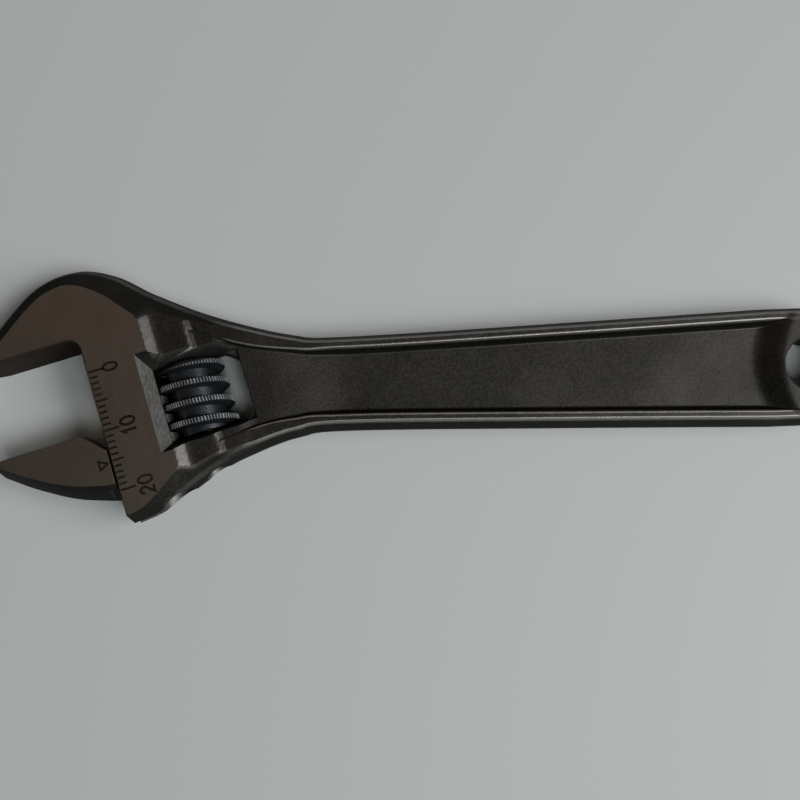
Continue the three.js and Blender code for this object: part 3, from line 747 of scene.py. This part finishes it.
def bevel_highlight(x, y):
    """Painted highlight: the two bevels that step down from the ground face are made brighter than the rest."""
    a, b = plan_to_head(x, y)
    band_end = BAND_START + (GROUND - BAND) / BAND_SLOPE
    panel_end = PANEL_START + (BAND - PANEL) / PANEL_SLOPE
    first = eased(a, BAND_START - 0.2, BAND_START + 0.3) * (1 - eased(a, band_end - 0.4, band_end + 0.2))
    second = eased(a, PANEL_START - 0.1, PANEL_START + 0.3) * (1 - eased(a, panel_end - 0.5, panel_end + 0.1))
    face, side = body_levels(x, y)
    return BEVEL_HIGHLIGHT * np.maximum(first, second) * eased(side - face, 0, 0.5)


def finish_steel(piece, height, edge_reach, painted_highlight=None):
    """Smooth shading with crisp cut edges, and the values that edge wear, painted corner shade and any painted
    highlight follow.
    """
    mesh = piece.data
    mesh.polygons.foreach_set("use_smooth", [True] * len(mesh.polygons))
    mesh.set_sharp_from_angle(angle=math.radians(48))
    part_finishes(mesh)
    co = np.zeros(len(mesh.vertices) * 3)
    mesh.vertices.foreach_get("co", co)
    co = co.reshape(-1, 3) / MM
    curve_value = edge_curve(height, co[:, 0], co[:, 1], edge_reach)
    if painted_highlight:
        curve_value += painted_highlight(co[:, 0], co[:, 1])
    attribute = mesh.attributes.new("edge_curve", "FLOAT", "POINT")
    attribute.data.foreach_set("value", curve_value.astype(np.float32))
    mesh.update()
    return piece


# Strength of the painted highlight on the two bevels.
BEVEL_HIGHLIGHT = 0.15
finish_steel(body, body_height, 0.45, bevel_highlight)
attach(body, "root")
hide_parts("wrench_body")

# The opening scale is laser-burnt into the head's scale face: a tick to each millimetre, counted
# down the front edge from the opening's zero, with plain numerals that read along the edge.
MARK_RISE, MARK_SINK = 0.012, 0.05
TICK_WIDTH, NUMERAL_WIDTH = 0.34, 0.42


def burnt_marks(name, strokes):
    """Thin strips on the scale face: strokes of (points in a and b, width, closed)."""
    points, faces = [], []
    for line, width, closed in strokes:
        line = np.array(line, float)
        after = np.roll(line, -1, 0) - line
        before = line - np.roll(line, 1, 0)
        if not closed:
            after[-1], before[0] = before[-1], after[0]
        after /= np.linalg.norm(after, axis=1)[:, None]
        before /= np.linalg.norm(before, axis=1)[:, None]
        along = after + before
        along /= (along ** 2).sum(1)[:, None] / 2
        across = np.stack([-along[:, 1], along[:, 0]], 1) * width / 2
        first, n = len(points), len(line)
        for z in (GROUND - MARK_SINK, GROUND + MARK_RISE):
            for side in (-1, 1):
                points += [head_point(a, b, z) for a, b in line + across * side]
        low_right, low_left, high_right, high_left = (first + n * k for k in range(4))
        for i in range(n if closed else n - 1):
            j = (i + 1) % n
            faces += [
                [high_right + i, high_right + j, high_left + j, high_left + i],
                [low_left + i, low_left + j, low_right + j, low_right + i],
                [low_right + i, low_right + j, high_right + j, high_right + i],
                [high_left + i, high_left + j, low_left + j, low_left + i],
            ]
        if not closed:
            faces.append([low_left, low_right, high_right, high_left])
            faces.append([low_right + n - 1, low_left + n - 1, high_left + n - 1, high_right + n - 1])
    marks = mesh_object(name, points, faces)
    marks.data.materials.append(burnt_steel)
    return marks


burnt_steel, tree, shader = steel("laser_burnt_steel", 0.0, 0.1)
shader.inputs["Specular IOR Level"].default_value = 0.1
soot = grouped(tree, skin, Dark=(0.006, 0.005, 0.004, 1), Pale=(0.02, 0.016, 0.012, 1), Speck_Size=5200.0)
tree.links.new(soot.outputs["Color"], shader.inputs["Base Color"])
tree.links.new(soot.outputs["Roughness"], shader.inputs["Roughness"])

NUMERAL_HEIGHT, NUMERAL_HALF = 2.3, 0.62
ring = np.linspace(0, 2 * math.pi, 24, endpoint=False)
numeral_lines = {
    "0": ([(0.5 * math.cos(t), 0.5 * math.sin(t)) for t in ring], True),
    "1": ([(-0.35, 0.24), (0.06, 0.5), (0.06, -0.5)], False),
    "2": ([(-0.46, 0.22), (-0.3, 0.45), (0.1, 0.5), (0.42, 0.3), (0.36, 0.05), (-0.1, -0.22),
           (-0.46, -0.48), (0.48, -0.48)], False),
}


def numeral(character, a, b):
    """A stroke for one numeral, its top towards the front edge and its right side up the jaw."""
    line, closed = numeral_lines[character]
    across = 2 * NUMERAL_HALF
    placed = [(a - v * NUMERAL_HEIGHT, b + u * across) for u, v in line]
    return placed, NUMERAL_WIDTH, closed


SCALE_START, SCALE_ZERO, SCALE_COUNT = 0.3, -6.1, 20
TICK_LENGTHS = {0: 2.5, 5: 1.9}
strokes = []
for count in range(SCALE_COUNT + 1):
    b = SCALE_ZERO - count
    length = TICK_LENGTHS.get(count % 10, 1.25)
    strokes.append(([(SCALE_START, b), (SCALE_START + length, b)], TICK_WIDTH, False))
strokes.append(numeral("0", 3.9, SCALE_ZERO))
strokes += [numeral("1", 4.25, SCALE_ZERO - 11), numeral("0", 4.25, SCALE_ZERO - 9.4)]
strokes += [numeral("2", 4.45, SCALE_ZERO - 21.1), numeral("0", 4.45, SCALE_ZERO - 19.4)]
scale_marks = burnt_marks("opening_scale", strokes)
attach(scale_marks, "root")

# ---- Movable jaw ---------------------------------------------------------------------------
# A smaller forging of the same steel, ground together with the head. Its rail slides in the
# head's bore, its web in the slot, and the rack cut in the rail's rear meets the worm.
MOVABLE_REACH, RELIEF = 18.7, 3.3
FACE = -rest_opening  # level of its gripping face
TIP_LEAN, ROOT_LEAN = 1.3, 2.5
BLANK_RUN = 3.0
jaw_back = np.vstack([
    [(-MOVABLE_REACH - BLANK_RUN, FACE - 2.2 + BLANK_RUN * 0.7)],
    curve_through([(-MOVABLE_REACH, FACE - 2.2), (-14.1, FACE - 5.6), (-8.1, FACE - 9.1), (-1.9, FACE - 11.3)], 40),
    [(BLANK_RUN, FACE - 11.7)],
])
jaw_back_distance = distance_to(resampled(jaw_back, 0.2))


def jaw_height(x, y):
    a, b = plan_to_head(x, y)
    lean = TIP_LEAN + (ROOT_LEAN - TIP_LEAN) * np.clip(1 + a / MOVABLE_REACH, 0, 1)
    return side_height(jaw_back_distance(a, b), lean)


def jaw_back_edge(a):
    return np.interp(a, jaw_back[:, 0], jaw_back[:, 1])


def jaw_front_edge(a):
    return np.full_like(a, FACE + BLANK_RUN)


jaw_stations = np.arange(-MOVABLE_REACH - BLANK_RUN, BLANK_RUN, 0.15)
jaw = forged_blank("movable_jaw_forging", jaw_stations, jaw_back_edge, jaw_front_edge, 60, jaw_height, in_head=True)
in_slot(jaw, FORGED)
kept = [(-MOVABLE_REACH, FACE), (-MOVABLE_REACH, -SPAN), (-RUN, -SPAN), (-RUN, FACE - RELIEF), (-RUN - RELIEF, FACE)]
combine(jaw, prism("keep_jaw_faces", slab, GROUND, BARE), "INTERSECT")
combine(jaw, prism("keep_jaw_edges", kept, GROUND + 1, BARE, -0.06), "INTERSECT")
web = [(-4, FACE - WEB_DROP), (-4, FACE - WEB_DEPTH), (RAIL_SET_BACK, FACE - WEB_DEPTH), (RAIL_SET_BACK, FACE - WEB_DROP)]
combine(jaw, prism("add_web", web, WEB_HALF, CUT), "UNION")
rail_top, rail_bottom = FACE + RAIL_LEAD, FACE - WEB_DEPTH
combine(jaw, turned("add_rail", [
    (0, rail_bottom), (RAIL_RADIUS - 0.45, rail_bottom), (RAIL_RADIUS, rail_bottom + 0.45),
    (RAIL_RADIUS, rail_top - RAIL_TIP), (RAIL_RADIUS - RAIL_TIP, rail_top), (0, rail_top),
], RAIL_SET_BACK, 128, CUT), "UNION")

WORM_RADIUS, WORM_PITCH, WORM_LENGTH, THREAD_DEPTH = 5.8, 3.2, 12.0, 1.6
WORM_TOP = WINDOW_TOP - RUN
WORM_CREST = WORM_TOP - WORM_LENGTH / 2 + 1.4  # level of one crest, facing the handle


def thread_ridge(name, section, steps, low, high, slot, knurl=None):
    """A left-hand ridge round the worm's axis: section of (radius, offset along b), from low to high."""
    count = int(round((high - low) / WORM_PITCH * steps))
    turn = 2 * math.pi * np.arange(count + 1) / steps
    rise = low + WORM_PITCH * np.arange(count + 1) / steps
    section = np.array(section, float)
    radius = np.repeat(section[None, :, 0], count + 1, 0)
    if knurl:
        teeth, depth, lowest = knurl
        wave = 0.5 - 0.5 * np.cos(turn * teeth)
        on_crest = section[:, 0] > lowest
        radius[:, on_crest] -= (depth * np.clip(1.5 * wave - 0.25, 0, 1))[:, None]
    a = WORM_SET_BACK + radius * np.cos(turn)[:, None]
    b = rise[:, None] + section[None, :, 1]
    z = radius * np.sin(turn)[:, None]
    plan = head_to_plan(a, b)
    points = np.concatenate([plan, (mid + z)[..., None]], 2).reshape(-1, 3) * MM
    n = len(section)
    faces = [list(range(n))[::-1], list(range(count * n, (count + 1) * n))]
    for step in range(count):
        for i in range(n):
            j = (i + 1) % n
            faces.append([step * n + i, step * n + j, (step + 1) * n + j, (step + 1) * n + i])
    return in_slot(outward(mesh_object(name, points, faces)), slot)


rack_foot = WORM_RADIUS - THREAD_DEPTH - RUN
rack_section = [(rack_foot, -1.325), (WORM_RADIUS + RUN, -0.775), (WORM_RADIUS + RUN, 0.775), (rack_foot, 1.325)]
combine(jaw, thread_ridge(
    "cut_rack", rack_section, 96, WORM_CREST - WORM_PITCH * 8, WORM_CREST + WORM_PITCH * 6, CUT,
), "DIFFERENCE")
finish_steel(jaw, jaw_height, 0.4)
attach(jaw, "jaw")
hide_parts("movable_jaw")

pointer = burnt_marks("jaw_pointer", [([(-0.6, -21.35), (-2.0, -20.65), (-2.0, -22.05)], 0.33, True)])
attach(pointer, "jaw")

# ---- Adjusting worm ------------------------------------------------------------------------
# Turned from bar, blued. A left-hand ridge with a fine straight knurl rolled on its crest for the
# thumb. It turns on a screw between the window's ends and moves the jaw by its rack.
KNURL_TEETH, KNURL_DEPTH = 68, 0.22
worm_steel, tree, shader = steel("blued_worm_steel", 0.85)
coat = grouped(tree, skin, Dark=(0.045, 0.05, 0.058, 1), Pale=(0.095, 0.103, 0.115, 1), Speck_Size=4200.0)
wear_and_light_masks = grouped(tree, wear_and_light, Edge_Start=0.08, Edge_Full=0.22, Corner_Start=-0.05, Corner_Full=-0.3)
color = mix_color(tree, wear_and_light_masks.outputs["Wear And Highlight"], coat.outputs["Color"], (0.22, 0.226, 0.235, 1))
# Painted shade: the thread's roots are darkened towards near-black.
color = mix_color(tree, math_node(tree, "MULTIPLY", wear_and_light_masks.outputs["Corner Shade"], 0.7), color, (0.012, 0.012, 0.013, 1))
tree.links.new(color, shader.inputs["Base Color"])
tree.links.new(spread(tree, coat.outputs["Height"], 0, 1.4, 0.28, 0.42), shader.inputs["Roughness"])
bump(tree, shader, coat.outputs["Height"], 0.15, 0.00006)


def in_one_steel(piece, material, angle=30):
    mesh = piece.data
    mesh.materials.clear()
    mesh.materials.append(material)
    mesh.polygons.foreach_set("material_index", [0] * len(mesh.polygons))
    mesh.polygons.foreach_set("use_smooth", [True] * len(mesh.polygons))
    mesh.set_sharp_from_angle(angle=math.radians(angle))
    return piece


def set_edge_curve(piece, values):
    attribute = piece.data.attributes.new("edge_curve", "FLOAT", "POINT")
    attribute.data.foreach_set("value", np.asarray(values, np.float32))


def head_coordinates(piece):
    """Each point's a, b and height over the mid-plane, in millimetres."""
    co = np.zeros(len(piece.data.vertices) * 3)
    piece.data.vertices.foreach_get("co", co)
    co = co.reshape(-1, 3) / MM
    a, b = plan_to_head(co[:, 0], co[:, 1])
    return a, b, co[:, 2] - mid


core = WORM_RADIUS - THREAD_DEPTH
worm_bottom = WORM_TOP - WORM_LENGTH
worm = turned("adjusting_worm_turned", [
    (0, worm_bottom), (core, worm_bottom), (core, WORM_TOP), (0, WORM_TOP),
], WORM_SET_BACK, 204, CUT)
crest_section = [
    (core - 0.3, -0.98), (core, -0.86), (core + 0.5, -0.66), (WORM_RADIUS - 0.3, -0.53), (WORM_RADIUS, -0.42),
    (WORM_RADIUS, 0.42), (WORM_RADIUS - 0.3, 0.53), (core + 0.5, 0.66), (core, 0.86), (core - 0.3, 0.98),
]
combine(worm, thread_ridge(
    "add_ridge", crest_section, KNURL_TEETH * 6, WORM_CREST - WORM_PITCH * 3, WORM_CREST + WORM_PITCH * 3, CUT,
    knurl=(KNURL_TEETH, KNURL_DEPTH, WORM_RADIUS - 0.35),
), "UNION")
END_EDGE = 0.8
combine(worm, turned("keep_ends", [
    (0, worm_bottom), (WORM_RADIUS - END_EDGE, worm_bottom), (WORM_RADIUS, worm_bottom + END_EDGE),
    (WORM_RADIUS, WORM_TOP - END_EDGE), (WORM_RADIUS - END_EDGE, WORM_TOP), (0, WORM_TOP),
], WORM_SET_BACK, 204, CUT), "INTERSECT")
SPRING_SEAT_RADIUS, SPRING_SEAT_DEPTH = 2.45, 4.3
combine(worm, turned("cut_worm_bore", [
    (0, worm_bottom - 2), (SPRING_SEAT_RADIUS, worm_bottom - 2),
    (SPRING_SEAT_RADIUS, worm_bottom + SPRING_SEAT_DEPTH), (PIN_RADIUS + RUN, worm_bottom + SPRING_SEAT_DEPTH),
    (PIN_RADIUS + RUN, WORM_TOP + 2), (0, WORM_TOP + 2),
], WORM_SET_BACK, 64, CUT), "DIFFERENCE")
in_one_steel(worm, worm_steel)
a, b, z = head_coordinates(worm)
out = np.hypot(a - WORM_SET_BACK, z)
# Worn knurl crests, and painted shade in the thread's roots (the negative values).
set_edge_curve(worm, np.interp(out, [core + 0.05, core + 0.7, WORM_RADIUS - 0.12, WORM_RADIUS - 0.02], [-0.18, 0, 0, 0.24]))
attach(worm, "worm")
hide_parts("adjusting_worm")

# ---- Worm's screw and spring -----------------------------------------------------------------
# A shouldered screw put in from the head's lower edge; the worm turns on its pin. A small coil
# spring in the worm's lower end takes up the play so that the jaw stays where it is set.
screw_steel, tree, shader = steel("blued_screw_steel", 0.85)
coat = grouped(tree, skin, Dark=(0.05, 0.05, 0.052, 1), Pale=(0.12, 0.12, 0.12, 1), Speck_Size=5200.0)
wear_and_light_masks = grouped(tree, wear_and_light, Edge_Start=0.06, Edge_Full=0.2)
tree.links.new(
    mix_color(tree, wear_and_light_masks.outputs["Wear And Highlight"], coat.outputs["Color"], (0.4, 0.39, 0.37, 1)), shader.inputs["Base Color"],
)
tree.links.new(coat.outputs["Roughness"], shader.inputs["Roughness"])
bump(tree, shader, coat.outputs["Height"], 0.2, 0.00005)
head_low, shoulder, pin_tip = WINDOW_BOTTOM - 5.2, WINDOW_BOTTOM - RUN, WINDOW_TOP + PIN_SEAT
screw = turned("worm_screw_turned", [
    (0, head_low), (SCREW_RADIUS - RUN, head_low), (SCREW_RADIUS, head_low + RUN), (SCREW_RADIUS, shoulder),
    (PIN_RADIUS, shoulder), (PIN_RADIUS, pin_tip - RUN), (PIN_RADIUS - RUN, pin_tip), (0, pin_tip),
], WORM_SET_BACK, 72, CUT)
driver_slot = [(WORM_SET_BACK - 4, head_low - 2), (WORM_SET_BACK + 4, head_low - 2),
               (WORM_SET_BACK + 4, head_low + 1), (WORM_SET_BACK - 4, head_low + 1)]
combine(screw, prism("cut_driver_slot", driver_slot, 0.4, CUT), "DIFFERENCE")
in_one_steel(screw, screw_steel)
a, b, z = head_coordinates(screw)
out = np.hypot(a - WORM_SET_BACK, z)
set_edge_curve(screw, np.where((out > SCREW_RADIUS - 0.35) & (b < head_low + 0.35), 0.25, 0.0))
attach(screw, "root")
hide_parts("worm_axle_screw")

SPRING_RADIUS, WIRE_RADIUS, SPRING_TURNS, SPRING_LENGTH = 1.925, 0.225, 5, 4.0
WIRE_SIDES, WIRE_STEPS = 12, 40
spring_turn = 2 * math.pi * np.arange(SPRING_TURNS * WIRE_STEPS + 1) / WIRE_STEPS
spring_rise = np.linspace(0, SPRING_LENGTH - 2 * WIRE_RADIUS, len(spring_turn)) + WINDOW_BOTTOM + RUN + WIRE_RADIUS
wire = np.linspace(0, 2 * math.pi, WIRE_SIDES, endpoint=False)
points = [
    head_point(WORM_SET_BACK + (SPRING_RADIUS + WIRE_RADIUS * math.cos(w)) * math.cos(t),
               rise + WIRE_RADIUS * math.sin(w),
               (SPRING_RADIUS + WIRE_RADIUS * math.cos(w)) * math.sin(t))
    for t, rise in zip(spring_turn, spring_rise) for w in wire
]
faces = [list(range(WIRE_SIDES))[::-1], list(range(len(points) - WIRE_SIDES, len(points)))]
for step in range(len(spring_turn) - 1):
    for i in range(WIRE_SIDES):
        j = (i + 1) % WIRE_SIDES
        low, high = step * WIRE_SIDES, (step + 1) * WIRE_SIDES
        faces.append([low + i, low + j, high + j, high + i])
spring = outward(mesh_object("worm_spring_wound", points, faces))
spring_steel, tree, shader = steel("drawn_spring_steel", 1.0)
drawn = grouped(tree, lines, Angle=0.26, Fineness=5200.0, Length=0.3)
tree.links.new(
    mix_color(tree, drawn.outputs["Lines"], (0.38, 0.37, 0.35, 1), (0.58, 0.57, 0.54, 1)), shader.inputs["Base Color"],
)
tree.links.new(spread(tree, drawn.outputs["Clouds"], 0, 1, 0.25, 0.38), shader.inputs["Roughness"])
in_one_steel(spring, spring_steel, 60)
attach(spring, "root")
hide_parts("worm_spring")
